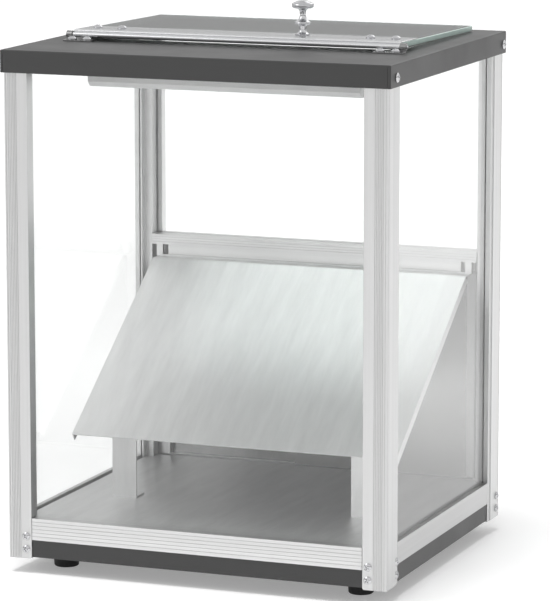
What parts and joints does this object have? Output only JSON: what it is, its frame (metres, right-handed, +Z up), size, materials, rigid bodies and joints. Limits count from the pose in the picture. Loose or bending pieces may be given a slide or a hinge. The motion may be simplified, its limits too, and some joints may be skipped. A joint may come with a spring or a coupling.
{
  "type": "chip warmer",
  "caption": "Counter display cabinet that keeps chips warm: glazed aluminium frame, hinged glass top lid, lamp housing, sloping chute and sliding rear doors.",
  "frame": {"origin": "on the resting plane, under the middle of the cabinet", "axes": "+X to the customer's right, +Y to the serving side with the sliding doors, +Z up"},
  "size_m": [0.4662, 0.4125, 0.646],
  "materials": {
    "anodised_aluminium": "satin anodised, fine ribs",
    "black_paint": "fine-textured black powder coat",
    "grey_paint": "light grey semi-matt",
    "pane_glass": "clear toughened",
    "lid_glass": "clear toughened, polished green edge",
    "bright_steel": "polished",
    "polished_steel": "polished",
    "zinc_steel": "zinc plated",
    "sheet_steel": "dull stainless sheet",
    "mirror_steel": "bright stainless",
    "bright_aluminium": "bright reflector sheet",
    "foot_rubber": "matt",
    "lamp_quartz": "frosted quartz",
    "ceramic": "unglazed",
    "clear_silicone": "translucent",
    "black_plastic": "moulded"
  },
  "bodies": {
    "cabinet": {"base_pan": "black_paint", "bracket_screws": "polished_steel", "cable_gland": "black_plastic", "chute": "sheet_steel", "chute_leg_left": "sheet_steel", "chute_leg_right": "sheet_steel", "chute_screws": "polished_steel", "door_jamb_left": "anodised_aluminium", "door_jamb_right": "anodised_aluminium", "floor_plate": "sheet_steel", "foot_front_left": "foot_rubber", "foot_front_right": "foot_rubber", "foot_nuts": "zinc_steel", "foot_rear_left": "foot_rubber", "foot_rear_right": "foot_rubber", "foot_screws": "zinc_steel", "front_bottom_rail": "anodised_aluminium", "front_top_rail": "anodised_aluminium", "glass_front": "pane_glass", "glass_left": "pane_glass", "glass_rear": "pane_glass", "glass_right": "pane_glass", "hinge_bracket_left": "bright_steel", "hinge_bracket_right": "bright_steel", "hinge_rod": "bright_steel", "lamp_holders": "ceramic", "lamp_housing": "grey_paint", "lamp_tube": "lamp_quartz", "left_bottom_rail": "anodised_aluminium", "left_top_rail": "anodised_aluminium", "post_front_left": "anodised_aluminium", "post_front_right": "anodised_aluminium", "post_rear_left": "anodised_aluminium", "post_rear_right": "anodised_aluminium", "post_screws": "polished_steel", "rear_bottom_rail": "anodised_aluminium", "rear_middle_rail": "anodised_aluminium", "rear_top_rail": "anodised_aluminium", "reflector": "bright_aluminium", "right_bottom_rail": "anodised_aluminium", "right_top_rail": "anodised_aluminium", "switch_body": "black_plastic", "terminal_block": "black_plastic", "top_tray": "black_paint", "tray_nuts": "zinc_steel", "tray_screws": "polished_steel", "wiring_duct": "grey_paint"},
    "lid": {"lid_glass": "lid_glass", "lid_knob": "polished_steel", "lid_nuts": "zinc_steel", "lid_pads": "clear_silicone", "lid_screws": "polished_steel", "lid_strip": "bright_steel"},
    "left_door": {"rear_door_left": "mirror_steel", "door_pull_left": "black_plastic"},
    "right_door": {"rear_door_right": "mirror_steel", "door_pull_right": "black_plastic"},
    "rocker": {"switch_rocker": "black_plastic"}
  },
  "joints": [
    {"name": "lid_hinge", "type": "hinge", "parent": "cabinet", "child": "lid", "pos_m": [0, -0.07644, 0.6016], "axis": [1, 0, 0], "range_deg": [0, 95]},
    {"name": "left_door_slide", "type": "slide", "parent": "cabinet", "child": "left_door", "axis": [1, 0, 0], "range_m": [0, 0.165]},
    {"name": "right_door_slide", "type": "slide", "parent": "cabinet", "child": "right_door", "axis": [1, 0, 0], "range_m": [-0.165, 0]},
    {"name": "power_rocker", "type": "hinge", "parent": "cabinet", "child": "rocker", "pos_m": [0.132, 0.203, 0.5845], "axis": [0, 0, 1], "range_deg": [0, 16]}
  ]
}
